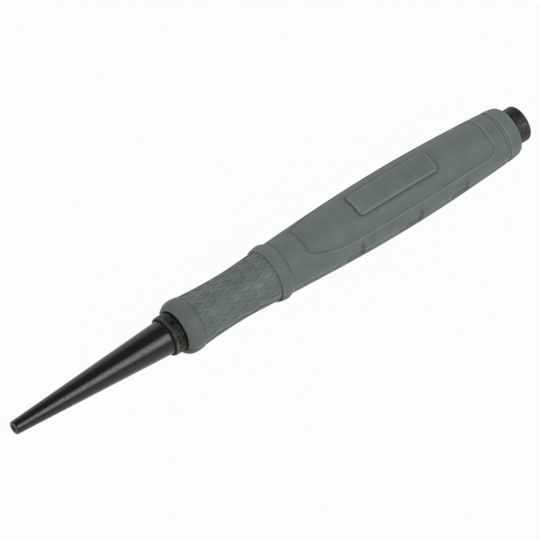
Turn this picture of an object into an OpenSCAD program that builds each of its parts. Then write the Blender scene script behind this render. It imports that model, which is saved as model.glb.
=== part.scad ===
// Nail set: a one-piece steel punch in a moulded grip, lying on its side with its plate upwards.
// The tool's axis runs along +X, from the cupped tip to the struck head, and +Z is up.
// The origin is on the bench, below the middle of the tool. Sizes are in millimetres.

/* [Punch] */
// Diameter of the working tip
tip_d = 3.2; // [2.6:0.1:4.8]
// Bevel round the edge of the tip
tip_bevel = 0.25; // [0.1:0.05:0.4]
// Diameter of the cup in the tip, at its mouth
cup_d = 1.9; // [1:0.1:2]
// Depth of the cup in the tip
cup_depth = 0.5; // [0.2:0.05:0.8]
// Length of the taper, from the tip to the collar
taper_len = 41.8; // [30:0.1:60]
// Diameter of the taper where it meets the collar
taper_d = 8.2; // [6:0.1:8.6]
// Diameter of the collar
collar_d = 9.6; // [9.2:0.1:10.2]
// Length of the collar that shows in front of the grip
collar_show = 3; // [1.5:0.1:6]
// Length of the collar that sits inside the grip's lip
collar_seat = 1.5; // [1:0.1:2.2]
// Rounding of the collar's front edge
collar_edge = 0.4; // [0.2:0.05:0.6]
// Diameter of the shank inside the grip
shank_d = 7.5; // [6.4:0.1:8]
// Depth of the flat that keys the shank to the grip, under the plate
flat_depth = 0.6; // [0.2:0.05:0.8]
// Length of the flat
flat_len = 56; // [30:1:60]
// Diameter of the struck head
head_d = 8.7; // [8.4:0.1:10]
// Length of the struck head
head_len = 3.8; // [2.5:0.1:12]
// Rounding of the struck head's edge
head_edge = 0.6; // [0.3:0.1:1.4]

/* [Core] */
// Wall of the core sleeve round the shank
core_wall = 1.05; // [0.8:0.05:1.2]
// Gap between the collar and the lip round it
lip_gap = 0.2; // [0.1:0.02:0.6]
// Length of the front band, with its rounded lip
band_len = 4; // [3:0.1:8]
// Largest diameter of the front band
band_d = 13.05; // [12.8:0.05:14]
// Diameter of the front band where the neck begins
band_rear_d = 12.7; // [12.5:0.1:12.8]
// Part of the front band's length that is rounded
band_round_share = 0.6; // [0.3:0.02:0.8]
// Width of the two keys that hold the handle body
key_w = 2; // [1:0.1:3]
// Height of the two keys above the core sleeve
key_h = 0.5; // [0.3:0.05:0.7]
// Length of the two keys
key_len = 40; // [20:1:44]

/* [Neck] */
// Length of the neck that shows between the front band and the ring
neck_len = 21.8; // [15:0.1:30]
// Diameter of the neck at its front
neck_front_d = 12.4; // [11.8:0.1:12.5]
// Diameter of the neck at its waist
neck_waist_d = 11.4; // [11:0.1:11.7]
// Diameter of the neck at its rear
neck_rear_d = 12.4; // [11.8:0.1:12.5]
// Place of the waist along the neck
waist_place_share = 0.52; // [0.3:0.01:0.7]
// Length of the neck that is tucked under the ring
tuck_len = 0.9; // [0.5:0.1:1.4]
// Number of diamonds round the neck
diamonds_round = 15; // [10:1:20]
// Length of one cell of the diamond pattern along the neck
diamond_len = 6.3; // [4:0.1:9]
// Depth of the diamond hollows
diamond_depth = 0.18; // [0.1:0.02:0.26]
// Part of each cell that is hollow
diamond_hollow_share = 0.64; // [0.5:0.02:0.8]
// Turn of the diamond pattern round the neck, in degrees
diamond_turn = 4; // [0:1:24]
// Distance from the front band to the middle of the first row of diamonds
diamond_start = 0.9; // [0:0.1:3]

/* [Handle body] */
// Length of the ring in front of the barrel
ring_len = 3.3; // [2.8:0.1:6]
// Largest diameter of the ring
ring_d = 13.7; // [13.4:0.1:15]
// Diameter of the ring's front edge
ring_front_d = 13.1; // [12.8:0.1:13.4]
// Place of the ring's crest along its length
ring_crest_share = 0.56; // [0.4:0.02:0.6]
// Length of the barrel behind the ring
barrel_len = 62.8; // [60:0.1:90]
// Diameter of the barrel at its front
barrel_front_d = 12.7; // [12:0.1:13]
// Diameter of the barrel at its belly
belly_d = 15; // [14:0.1:18]
// Diameter of the barrel at its rear
barrel_rear_d = 12.9; // [12.4:0.1:13.6]
// Place of the belly along the barrel
belly_place_share = 0.53; // [0.46:0.01:0.6]
// Depth of the two recessed panels
panel_depth = 0.22; // [0.1:0.02:0.36]
// Distance from the ring to the panels
panel_front_gap = 5.6; // [2:0.1:7]
// Distance from the panels to the groove
panel_rear_gap = 3.3; // [2:0.1:7]
// Radius of the panels' rear corners
panel_corner = 1.8; // [0.5:0.1:2.5]
// Half width of the panels, of the barrel's radius
panel_side_share = 0.86; // [0.7:0.01:0.87]
// Width of the panels' front edge, of their full width
panel_nose_share = 0.58; // [0.4:0.01:0.8]
// Part of the panels' length that their swept front corners take
panel_sweep_share = 0.19; // [0.12:0.01:0.32]
// Length of the thumb notches
notch_len = 5.5; // [3.4:0.1:7]
// Depth of the thumb notches
notch_depth = 0.6; // [0.3:0.05:0.7]
// Length of the slope at the front of a thumb notch
notch_ramp = 0.8; // [0.6:0.1:1.6]
// Length of the steeper slope at the rear of a thumb notch
notch_wall = 1; // [0.2:0.1:1.4]

/* [End cap] */
// Width of the groove in front of the end cap
groove_w = 0.9; // [0.4:0.1:1.4]
// Depth of the groove
groove_depth = 0.3; // [0.15:0.05:0.5]
// Length of the end cap
cap_len = 4; // [3.2:0.1:6]
// Diameter of the end cap at the groove
cap_d = 12.7; // [12.3:0.1:13.2]
// Diameter of the end cap where its rounded end begins
cap_rear_d = 12.2; // [11.8:0.1:12.5]
// Length of the end cap's rounded end
cap_round_len = 1.2; // [0.6:0.1:2]
// Height of the end cap's rounded end
cap_round_rise = 1.4; // [0.6:0.1:1.6]
// Length of the core sleeve that the end cap holds
cap_seat = 2.2; // [1.2:0.1:2.6]

/* [Plate] */
// Length of the raised plate
plate_len = 22.6; // [12:0.1:30]
// Width of the raised plate
plate_w = 6; // [4:0.1:7]
// Radius of the plate's corners
plate_corner = 1; // [0.4:0.1:1.9]
// Height of the plate above the panel
plate_proud = 0.42; // [0.1:0.02:0.6]
// Depth of the plate's seat in the panel
plate_seat = 0.4; // [0.2:0.05:0.7]

/* [Fits] */
// Clearance between neighbouring pieces
fit = 0.05; // [0.02:0.01:0.1]

/* [Hidden] */
$fn = 64;
steel_colour = "#2a2b2d";
grip_colour = "#6c7674";
core_colour = "#636d6b";
overrun = 1;
curve_steps = 8;
corner_steps = 5;
sweep_power = 2.4;
notch_place_shares = [0.273, 0.544, 0.764];

// Radii that the diameters give
tip_r = tip_d / 2;
cup_r = cup_d / 2;
taper_r = taper_d / 2;
collar_r = collar_d / 2;
shank_r = shank_d / 2;
head_r = head_d / 2;
core_r = shank_r + core_wall;
lip_r = collar_r + lip_gap;
band_r = band_d / 2;
band_rear_r = band_rear_d / 2;
neck_front_r = neck_front_d / 2;
neck_waist_r = neck_waist_d / 2;
neck_rear_r = neck_rear_d / 2;
ring_r = ring_d / 2;
ring_front_r = ring_front_d / 2;
barrel_front_r = barrel_front_d / 2;
belly_r = belly_d / 2;
barrel_rear_r = barrel_rear_d / 2;
cap_r = cap_d / 2;
cap_rear_r = cap_rear_d / 2;

// Places along the tool, measured from the tip
lip_z = taper_len + collar_show;
shank_z = lip_z + collar_seat;
neck_z = lip_z + band_len;
ring_z = neck_z + neck_len;
barrel_z = ring_z + ring_len;
groove_z = barrel_z + barrel_len;
cap_z = groove_z + groove_w;
head_z = cap_z + cap_len;
overall_len = head_z + head_len;
band_crest_z = lip_z + band_len * band_round_share;
waist_z = neck_z + neck_len * waist_place_share;
ring_crest_z = ring_z + ring_len * ring_crest_share;
belly_z = barrel_z + barrel_len * belly_place_share;
core_end_z = cap_z + cap_seat;
panel_z = barrel_z + panel_front_gap;
panel_end_z = groove_z - panel_rear_gap;
panel_mid_z = (panel_z + panel_end_z) / 2;
panel_sweep = (panel_end_z - panel_z) * panel_sweep_share;

// Height of the axis when the belly of the lower panel touches the bench
axis_h = belly_r - panel_depth;

// A quarter wave that leaves the crest of a curve level
function ease(part) = 1 - cos(90 * part);

// Outline points from the end of a swell to its crest, and from the crest back down
function rise(end_r, end_z, crest_r, crest_z) =
    [for (i = [0 : curve_steps]) let (part = 1 - i / curve_steps)
        [crest_r - (crest_r - end_r) * ease(part), crest_z - (crest_z - end_z) * part]];
function fall(crest_r, crest_z, end_r, end_z) =
    [for (i = [1 : curve_steps]) let (part = i / curve_steps)
        [crest_r - (crest_r - end_r) * ease(part), crest_z + (end_z - crest_z) * part]];

// Outline points of a quarter ellipse that starts square to the axis, or ends square to it
function round_in(low_r, low_z, high_r, high_z) =
    [for (i = [0 : curve_steps]) let (turn = 90 * i / curve_steps)
        [low_r + (high_r - low_r) * sin(turn), high_z - (high_z - low_z) * cos(turn)]];
function round_out(high_r, high_z, low_r, low_z) =
    [for (i = [0 : curve_steps]) let (turn = 90 * i / curve_steps)
        [low_r + (high_r - low_r) * cos(turn), high_z + (low_z - high_z) * sin(turn)]];

// Radius of the barrel at a place along it, and the barrel's outline moved out by a height
function barrel_r(z) =
    let (before = z < belly_z)
    let (end_r = before ? barrel_front_r : barrel_rear_r)
    let (span = before ? belly_z - barrel_z : groove_z - belly_z)
    belly_r - (belly_r - end_r) * ease(abs(z - belly_z) / span);
function barrel_outline(height) =
    [for (i = [-curve_steps : curve_steps])
        let (z = belly_z + (i < 0 ? belly_z - barrel_z : groove_z - belly_z) * i / curve_steps)
        [barrel_r(z) + height, z]];

// Radius of the neck at a place along it
function neck_r(z) =
    let (before = z < waist_z)
    let (end_r = before ? neck_front_r : neck_rear_r)
    let (span = before ? waist_z - neck_z : ring_z - waist_z)
    neck_waist_r + (end_r - neck_waist_r) * ease(min(abs(z - waist_z) / span, 1));

// Half outline of a panel, seen from above: swept front corner, side and rounded rear corner
function panel_side(z) = barrel_r(z) * panel_side_share;
function panel_sweep_side(z) =
    let (nose = panel_side(panel_z + panel_sweep) * panel_nose_share)
    let (part = (panel_z + panel_sweep - z) / panel_sweep)
    nose + (panel_side(z) - nose) * (1 - pow(part, sweep_power));
function panel_half() =
    let (corner_z = panel_end_z - panel_corner)
    concat(
        [for (i = [0 : curve_steps - 1]) let (z = panel_z + panel_sweep * i / curve_steps) [z, panel_sweep_side(z)]],
        [for (i = [0 : curve_steps - 1]) let (part = i / curve_steps)
            let (z = panel_z + panel_sweep + (corner_z - panel_z - panel_sweep) * part) [z, panel_side(z)]],
        [for (i = [0 : corner_steps]) let (turn = 90 * i / corner_steps)
            [corner_z + panel_corner * sin(turn), panel_side(corner_z) - panel_corner * (1 - cos(turn))]]);

// Lays the tool on the bench: its axis along +X, its upper side along +Z
module lay_down() {
    translate([-overall_len / 2, 0, axis_h]) rotate([0, 90, 0]) rotate([0, 0, 180]) children();
}

// A solid of revolution from an outline of radius and place along the tool
module turned(outline) {
    rotate_extrude() polygon(outline);
}

// A straight bar that stands through the tool, with an outline of place along the tool and side
module through(height) {
    rotate([0, -90, 0]) linear_extrude(height = height, center = true) children();
}

// The shank with its flat, grown all round by a gap
module shank(gap) {
    flat_z = (shank_z + head_z - flat_len) / 2;
    difference() {
        translate([0, 0, shank_z - overrun]) cylinder(r = shank_r + gap, h = head_z - shank_z + 2 * overrun);
        translate([shank_r - flat_depth + gap + overrun / 2, 0, flat_z + flat_len / 2])
            cube([overrun, shank_d, flat_len - 2 * gap], center = true);
    }
}

// Blackened steel punch
module punch() {
    cup_ball_r = (pow(cup_r, 2) + pow(cup_depth, 2)) / (2 * cup_depth);
    color(steel_colour) lay_down() difference() {
        union() {
            turned(concat(
                [[0, 0], [tip_r - tip_bevel, 0], [tip_r, tip_bevel], [taper_r, taper_len]],
                round_in(collar_r - collar_edge, taper_len, collar_r, taper_len + collar_edge),
                [[collar_r, shank_z], [0, shank_z]]));
            shank(0);
            turned(concat(
                [[0, head_z], [head_r, head_z]],
                round_out(head_r, overall_len - head_edge, head_r - head_edge, overall_len),
                [[0, overall_len]]));
        }
        translate([0, 0, cup_depth - cup_ball_r]) sphere(r = cup_ball_r);
    }
}

// Rigid core sleeve with the front band and two keys
module grip_core() {
    key_z = panel_mid_z - key_len / 2;
    color(core_colour) lay_down() difference() {
        union() {
            turned(concat(
                [[0, lip_z]],
                round_in(lip_r, lip_z, band_r, band_crest_z),
                fall(band_r, band_crest_z, band_rear_r, neck_z),
                [[core_r, neck_z], [core_r, core_end_z], [0, core_end_z]]));
            translate([-key_w / 2, -core_r - key_h, key_z]) cube([key_w, 2 * (core_r + key_h), key_len]);
        }
        translate([0, 0, lip_z - overrun]) cylinder(r = lip_r, h = collar_seat + fit + overrun);
        shank(fit);
    }
}

// Soft neck sleeve with diamond hollows
module neck_grip() {
    rows = ceil((neck_len + tuck_len) / diamond_len * 2);
    cell_w = PI * neck_waist_d / diamonds_round;
    hollow = [diamond_len * diamond_hollow_share / 2, cell_w * diamond_hollow_share / 2];
    color(grip_colour) lay_down() difference() {
        turned(concat(
            [[core_r + fit, neck_z + fit]],
            [for (p = rise(neck_front_r, neck_z, neck_waist_r, waist_z)) [p.x, max(p.y, neck_z + fit)]],
            fall(neck_waist_r, waist_z, neck_rear_r, ring_z),
            [[neck_rear_r, ring_z + tuck_len], [core_r + fit, ring_z + tuck_len]]));
        for (row = [0 : rows], place = [0 : diamonds_round - 1])
            let (z = neck_z + diamond_start + row * diamond_len / 2)
            rotate([0, 0, diamond_turn + (place + (row % 2) / 2) * 360 / diamonds_round])
                translate([neck_r(z) - diamond_depth, 0, z]) rotate([0, 90, 0])
                    linear_extrude(height = overrun)
                        polygon([[hollow.x, 0], [0, hollow.y], [-hollow.x, 0], [0, -hollow.y]]);
    }
}

// The plate's block from the axis upwards, grown all round by a gap
module plate_block(gap) {
    corner = plate_corner + gap;
    size = [plate_len + 2 * gap, plate_w + 2 * gap];
    translate([belly_r, 0, panel_mid_z]) through(belly_d) {
        square([size.x - 2 * corner, size.y], center = true);
        square([size.x, size.y - 2 * corner], center = true);
        for (along = [-1, 1], across = [-1, 1])
            translate([along * (size.x / 2 - corner), across * (size.y / 2 - corner)]) circle(r = corner);
    }
}

// The skin of the barrel between two heights above its surface
module barrel_skin(low, high) {
    outer = barrel_outline(high);
    inner = barrel_outline(low);
    turned(concat(inner, [for (i = [len(outer) - 1 : -1 : 0]) outer[i]]));
}

// Soft handle body with its ring, panels and thumb notches
module handle_body() {
    key_z = panel_mid_z - key_len / 2;
    half = panel_half();
    color(grip_colour) lay_down() difference() {
        turned(concat(
            [[core_r + fit, ring_z]],
            rise(ring_front_r, ring_z, ring_r, ring_crest_z),
            fall(ring_r, ring_crest_z, barrel_front_r, barrel_z),
            barrel_outline(0),
            [[barrel_rear_r - groove_depth, groove_z], [barrel_rear_r - groove_depth, cap_z - fit],
             [core_r + fit, cap_z - fit]]));
        translate([0, 0, ring_z - overrun]) cylinder(r = neck_rear_r + fit, h = tuck_len + fit + overrun);
        translate([-key_w / 2 - fit, -core_r - key_h - fit, key_z - fit])
            cube([key_w + 2 * fit, 2 * (core_r + key_h + fit), key_len + 2 * fit]);
        intersection() {
            barrel_skin(-panel_depth, overrun);
            through(2 * belly_d) polygon(concat(half, [for (i = [len(half) - 1 : -1 : 0]) [half[i].x, -half[i].y]]));
        }
        intersection() {
            barrel_skin(-panel_depth - plate_seat - fit, overrun);
            plate_block(fit);
        }
        for (share = notch_place_shares, side = [-1, 1])
            let (z = barrel_z + barrel_len * share)
            let (bed = side * (barrel_r(z) - notch_depth), mouth = side * (barrel_r(z) + overrun))
            through(belly_d) polygon([
                [z - notch_len / 2 - notch_ramp * overrun / notch_depth, mouth],
                [z - notch_len / 2 + notch_ramp, bed],
                [z + notch_len / 2 - notch_wall, bed],
                [z + notch_len / 2 + notch_wall * overrun / notch_depth, mouth]]);
    }
}

// End cap round the rear of the core
module end_cap() {
    cap_round_z = head_z - fit - cap_round_len;
    color(core_colour) lay_down() turned(concat(
        [[core_r + fit, cap_z], [cap_r, cap_z]],
        round_out(cap_rear_r, cap_round_z, cap_rear_r - cap_round_rise, head_z - fit),
        [[shank_r + fit, head_z - fit], [shank_r + fit, core_end_z + fit], [core_r + fit, core_end_z + fit]]));
}

// Raised plate in the upper panel
module name_plate() {
    color(grip_colour) lay_down() intersection() {
        barrel_skin(-panel_depth - plate_seat, plate_proud - panel_depth);
        plate_block(0);
    }
}

punch();
grip_core();
neck_grip();
handle_body();
end_cap();
name_plate();
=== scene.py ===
"""Nail set: a blackened steel punch in a moulded grey grip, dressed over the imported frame.

Sizes are in millimetres. A place is measured along the tool from its tip, a radius from its axis,
and a turn in radians round the axis, from the top of the tool towards the camera's side (-Y).
"""
import math

import bmesh
import bpy
from mathutils import Matrix, Vector


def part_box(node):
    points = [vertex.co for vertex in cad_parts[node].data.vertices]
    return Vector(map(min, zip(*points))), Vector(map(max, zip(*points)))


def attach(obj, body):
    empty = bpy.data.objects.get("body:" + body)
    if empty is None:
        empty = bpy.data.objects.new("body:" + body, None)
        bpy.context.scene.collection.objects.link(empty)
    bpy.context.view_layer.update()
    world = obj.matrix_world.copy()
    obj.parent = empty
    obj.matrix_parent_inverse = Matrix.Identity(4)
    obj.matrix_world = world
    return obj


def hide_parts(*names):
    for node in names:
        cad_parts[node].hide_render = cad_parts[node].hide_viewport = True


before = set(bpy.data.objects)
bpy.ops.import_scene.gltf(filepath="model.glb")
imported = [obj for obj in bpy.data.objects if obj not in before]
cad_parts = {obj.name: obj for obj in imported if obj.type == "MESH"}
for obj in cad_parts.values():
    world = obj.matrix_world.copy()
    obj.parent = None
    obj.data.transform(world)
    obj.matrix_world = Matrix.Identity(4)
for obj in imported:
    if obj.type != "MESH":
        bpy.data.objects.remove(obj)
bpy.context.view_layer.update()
bpy.context.scene.view_settings.view_transform = "Standard"

MM = 0.001


# Sizes that the frame gives

def node_span(node):
    """Lowest and highest corner of a CAD node, in millimetres."""
    low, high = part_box(node)
    return Vector(low) / MM, Vector(high) / MM


PUNCH_LOW, PUNCH_HIGH = node_span("punch")
CORE_LOW, CORE_HIGH = node_span("grip_core")
NECK_LOW, NECK_HIGH = node_span("neck_grip")
BODY_LOW, BODY_HIGH = node_span("handle_body")
CAP_LOW, CAP_HIGH = node_span("end_cap")
PLATE_LOW, PLATE_HIGH = node_span("name_plate")

TIP_X = PUNCH_LOW.x
AXIS_Z = (PUNCH_LOW.z + PUNCH_HIGH.z) / 2
TOOL_LEN = PUNCH_HIGH.x - TIP_X
COLLAR_R = (PUNCH_HIGH.y - PUNCH_LOW.y) / 2
LIP_PLACE = CORE_LOW.x - TIP_X
CORE_END = CORE_HIGH.x - TIP_X
BAND_R = (CORE_HIGH.y - CORE_LOW.y) / 2
NECK_PLACE = NECK_LOW.x - TIP_X
NECK_END = NECK_HIGH.x - TIP_X
NECK_REAR_R = (NECK_HIGH.y - NECK_LOW.y) / 2
RING_PLACE = BODY_LOW.x - TIP_X
BODY_END = BODY_HIGH.x - TIP_X
CAP_PLACE = CAP_LOW.x - TIP_X
CAP_END = CAP_HIGH.x - TIP_X
CAP_R = (CAP_HIGH.y - CAP_LOW.y) / 2
PLATE_LEN = PLATE_HIGH.x - PLATE_LOW.x
PLATE_W = PLATE_HIGH.y - PLATE_LOW.y
PLATE_MIDDLE = (PLATE_LOW.x + PLATE_HIGH.x) / 2 - TIP_X

# Sizes of the punch
TIP_R = 1.6
TIP_BEVEL = 0.25
CUP_R = 0.95
CUP_DEPTH = 0.5
TAPER_LEN = 41.8
TAPER_R = 4.1
COLLAR_EDGE = 0.6
COLLAR_SEAT = 1.5
SHANK_R = 3.75
HEAD_R = 4.35
HEAD_EDGE = 0.6
HEAD_PLACE = 141.6

# Sizes of the grip
FIT = 0.05
CORE_R = 4.8
LIP_R = 5.0
BAND_ROUND = 2.4
BAND_REAR_R = 6.35
NECK_FRONT_R = 6.2
NECK_WAIST_R = 5.7
NECK_WAIST_PLACE = 60.14
RING_LEN = 3.3
RING_FRONT_R = 6.55
RING_R = 6.85
RING_CREST = 1.85
BARREL_PLACE = RING_PLACE + RING_LEN
RING_GAP = 0.26
RING_GAP_MIN = 0.01
RING_GAP_START = 0.8
RING_FLASH_TURNS = (math.radians(-20), math.radians(-8))
RING_FLASH_W = math.radians(3)
BARREL_FRONT_R = 6.35
BELLY_R = 7.5
BELLY_PLACE = 107.18
BARREL_REAR_R = 6.45
GROOVE_PLACE = 136.7
GROOVE_DEPTH = 0.3
CAP_REAR_R = 6.1
CAP_EDGE = 0.18
CAP_ROUND_LEN = 1.3
CAP_ROUND_RISE = 1.4
CAP_FRONT_LEN = 1

# Diamond pattern of the neck
DIAMONDS_ROUND = 15
DIAMOND_LEN = 6.3
DIAMOND_DEPTH = 0.2
DIAMOND_TURN = math.radians(4)
DIAMOND_START = 0.9
DIAMOND_LINES = 25
DIAMOND_SPARE_ROWS = 3
DIAMOND_FADE = 0.6
DIAMOND_HOLLOW_SHARE = 0.65

# Recessed panels, thumb notches and the parting line of the mould
PANEL_PLACE = 79.5
PANEL_END = 133.4
PANEL_DEPTH = 0.22
PANEL_WALL = 0.22
PANEL_SIDE_SHARE = 0.86
PANEL_NOSE_SHARE = 0.63
PANEL_SWEEP = 10.24
PANEL_SWEEP_POWER = 2.0
PANEL_NOSE_ROUND = 0.8
PANEL_CORNER = 1.8
NOTCH_PLACES = (91.04, 108.06, 121.88)
NOTCH_LEN = 5.5
NOTCH_DEPTH = 0.6
NOTCH_RAMP = 0.8
NOTCH_WALL = 1.0
NOTCH_SOFTNESS = 0.06
NOTCH_SIDE_MIN = 0.5
SEAM_HEIGHT = 0.09
SEAM_HALF_W = 0.2

# Bare plate
PLATE_CORNER = 1.0
PLATE_PROUD = 0.42
PLATE_SEAT = 0.4
PLATE_EDGE = 0.06
PLATE_SPACING = 0.5
PLATE_INSETS = (0.15, 0.25, 0.4, 0.6)
# Shares of the outline in the underside's rings, in the order in which they are joined
PLATE_UNDERSIDE = (0, 0.75, 0.5, 0.25, 1)

# Marks painted on the steel: above zero worn steel and painted highlights, below zero painted shade, black
# and dull
# Painted highlight on the collar's front edge, stronger low and on the far side, and painted shade at its
# foot and under the grip's lip
COLLAR_HIGHLIGHT, COLLAR_SIDE_HIGHLIGHT = 0.25, 0.6
COLLAR_HIGHLIGHT_PLACE, COLLAR_HIGHLIGHT_W = COLLAR_EDGE * 0.7, COLLAR_EDGE * 0.45
COLLAR_LOW_TURN, COLLAR_LOW_FADE = math.radians(50), math.radians(25)
COLLAR_FAR_TURN, COLLAR_FAR_FADE = math.radians(-12), math.radians(20)
COLLAR_FOOT_SHADE_W, COLLAR_FOOT_REACH = 0.3, 1
LIP_SHADE_LEN = 0.9
# Worn patch with a painted highlight on one side of the head's rim, and painted shade on the rest of the rim
HEAD_WORN_AND_HIGHLIGHT, HEAD_HIGHLIGHT_TURN, HEAD_HIGHLIGHT_FADE = 0.24, math.radians(40), math.radians(40)
HEAD_SHADE, HEAD_SHADE_TURN, HEAD_SHADE_FADE = 0.4, math.radians(28), math.radians(40)
HEAD_FACE_BARE = 0.35

# Lines of painted highlight (above zero) and painted shade (below zero): strength, distance from an edge,
# width
# Painted shade at the band's rear edge and under the band's lip on its lower side
BAND_REAR_SHADE = (-0.35, 0, 0.12)
BAND_LIP_SHADE = (-0.8, 0, 1.6)
BAND_LIP_TURN, BAND_LIP_FADE = math.radians(78), math.radians(25)
# Painted highlights round the diamond hollows, painted shade inside their edges and at the neck's ends
HOLLOW_EDGE_HIGHLIGHT = (0.2, 0.03, 0.04)
HOLLOW_CORNER_SHADE = (-0.25, -0.04, 0.035)
HOLLOW_POLISH_W = 0.04
NECK_FRONT_SHADE = (-0.55, 0, 0.25)
NECK_REAR_SHADE = (-0.35, 0, 0.3)
# Painted highlight on the ring's front edge, painted shade behind the ring on its upper side
RING_EDGE_HIGHLIGHT = (0.3, 0, 0.2)
RING_REAR_SHADE = (-0.4, -0.1, 0.3)
RING_REAR_TURN, RING_REAR_FADE = math.radians(68), math.radians(30)
# Painted highlight outside the panels' edges, painted shade inside them, darker at the swept front
PANEL_EDGE_HIGHLIGHT = (0.6, -0.1, 0.22)
PANEL_CORNER_SHADE = (-0.13, 0.26, 0.24)
PANEL_NOSE_SHADE = (-0.23, 0.26, 0.24)
PANEL_NOSE_END, PANEL_NOSE_FADE = PANEL_PLACE + PANEL_SWEEP * 0.8, PANEL_SWEEP * 0.6
# Painted highlight at the rims of the thumb notches and painted shade in them, darker on their rear slopes
NOTCH_EDGE_HIGHLIGHT = (0.3, 0, 0.06)
NOTCH_SHADE, NOTCH_REAR_SHADE, NOTCH_REAR_FADE = 0.12, 0.42, NOTCH_WALL * 0.6
# Painted highlight on the groove's floor and painted shade at its front; painted highlight on the cap's front
# edge
GROOVE_FLOOR_HIGHLIGHT = 0.3
GROOVE_SHADE = (-0.9, 0.15, 0.22)
CAP_EDGE_HIGHLIGHT = (0.4, 0.3, 0.25)
CAP_HIGHLIGHT_DEPTH = 0.1
# Painted highlight on the plate's edge, painted shadow round its foot
PLATE_EDGE_HIGHLIGHT = (0.6, PLATE_EDGE * 2, 0.22)
PLATE_SHADOW_LINE = 0.3
PLATE_SHADOW_TAIL = 0.42
PLATE_SHADOW_REACH = 3.5
# Painted highlight on the parting line and painted shade below it, in its half widths: output, middle, flat
# part, reach
SEAM_LINES = (("Painted Highlight", 0.0, 0.4, 1.6), ("Painted Shade", -7.0, 5.0, 8.0))

# Distances from an edge at which rows and columns are laid, inwards negative
EDGE_STEPS = (-0.9, -0.7, -0.5, -0.4, -0.3, -0.24, -0.16, -0.12, -0.08, -0.04,
              0, 0.06, 0.12, 0.2, 0.3, 0.45, 0.7)
SEAM_STEPS = (-0.7, -0.5, -0.35, -0.25, -0.16, -0.08, 0)

# Rows, columns and joins of the meshes
ROUND_STEPS = 8
TURNED_COLUMNS = 160
TAPER_ROWS, COLLAR_ROWS, HEAD_ROWS, FACE_ROWS = 60, 16, 8, 6
CAP_ROWS = 6
PANEL_COLUMNS, SIDE_COLUMNS = 10, 8
RING_ROWS, BARREL_ROWS, BARREL_END_ROWS, BARREL_END_LEN = 44, 150, 10, 1
NOTCH_RAMP_ROWS, NOTCH_WALL_ROWS = 16, 20
GROOVE_ROWS = 10
ROW_SPACING_MIN = 0.035
PLATE_EDGE_ROWS, PLATE_TOP_ROWS, PLATE_TOP_SHARE = 4, 9, 0.7
MERGE_DISTANCE, DIAMOND_MERGE_DISTANCE = 0.002, 0.003
CREASE, NECK_CREASE = math.radians(48), math.radians(60)

# Colours and finish, with the bump heights in metres
GRIP_DARK, GRIP_LIGHT = (0.148, 0.178, 0.172), (0.204, 0.243, 0.236)
CORE_DARK, CORE_LIGHT = (0.137, 0.163, 0.157), (0.168, 0.198, 0.191)
GRIP_FINISH = {"roughness": 0.55, "grain_scale": 2600.0, "bump": 0.35}
PLASTIC_FINISH = {"roughness": 0.52, "grain_scale": 3000.0, "bump": 0.25}
# Colours of the painted highlights and of the painted shade on the grip
PAINTED_HIGHLIGHT_COLOUR = (0.30, 0.335, 0.325)
PAINTED_SHADE_COLOUR = (0.03, 0.034, 0.032)
# Strengths of the painted highlight on the parting line and of the painted shade below it
SEAM_HIGHLIGHT, SEAM_SHADE = 0.9, 0.25
TONE_SPAN, TONE_GLOSS = (0.3, 0.7), 0.05
GRIP_BUMP_HEIGHT = 0.00003
GRIP_SPECULAR = 0.33
GRIP_FUZZ = 0.6
POLISH = 0.15
# Colour of worn steel, also used for the painted highlights on the steel
BARE_AND_LIT_STEEL = (0.24, 0.236, 0.21)
BARE_SPAN, BARE_LEAST = (0.4, 0.6), 0.35
BLOTCH_SPAN = (0.4, 0.64)
GLOSS_SPAN, GLOSS_LESS, GLOSS_MORE = (0.38, 0.62), 0.1, 0.06
STEEL_BUMP_HEIGHT = 0.0002
STEEL_TINT = (0.92, 1.0, 0.985)
SCRATCH_STRETCH = (1.0, 0.05, 0.05)

# Floor, world and lamps, in metres
FLOOR_COLOUR = (0.25, 0.225, 0.18)
FLOOR_WHITE = 0.97
FLOOR_REACH, FLOOR_DROP = 12.0, 0.05 * MM
OVERHEAD_SPAN, HORIZON_LIGHT, OVERHEAD_LIGHT = (0.42, 0.68), 1.0, 0.27
FRONT_SPAN, FRONT_SHARE = (-0.7, 0.3), 0.7
KEY_TURN, KEY_LEAN = math.radians(13), math.radians(18)
KEY_DISTANCE, KEY_STEP = 1.2, 0.05
KEY_LEN, KEY_WIDTHS, KEY_RADIANCE = 0.45, (0.4, 0.78, 1.15), 1.66
FILL_TURN, FILL_LEAN = math.radians(10), math.radians(-45)
FILL_DISTANCE, FILL_SIZE, FILL_RADIANCE = 1.2, 0.6, 2.0

# Photograph's view, fitted to the tool's outline
PHOTO_PX = 540
FOCAL_PX = 6129.0
MIDDLE_PX = (272.4, 272.0)
CAMERA_DISTANCE = 1365.0
FACING_TURN = math.radians(27.5)
VIEW_LEAN = math.radians(25.2)
IMAGE_SLOPE = math.radians(31.146)
SENSOR = 36.0

TOOL_AXIS = Vector((1, 0, 0))
FACING = Vector((0, -math.sin(FACING_TURN), math.cos(FACING_TURN)))
ACROSS = TOOL_AXIS.cross(FACING)
TOOL_MIDDLE = Vector((TIP_X + TOOL_LEN / 2, 0, AXIS_Z)) * MM


def add_object(name, data):
    """Object at the origin, linked to the scene."""
    added = bpy.data.objects.new(name, data)
    bpy.context.scene.collection.objects.link(added)
    return added


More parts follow.
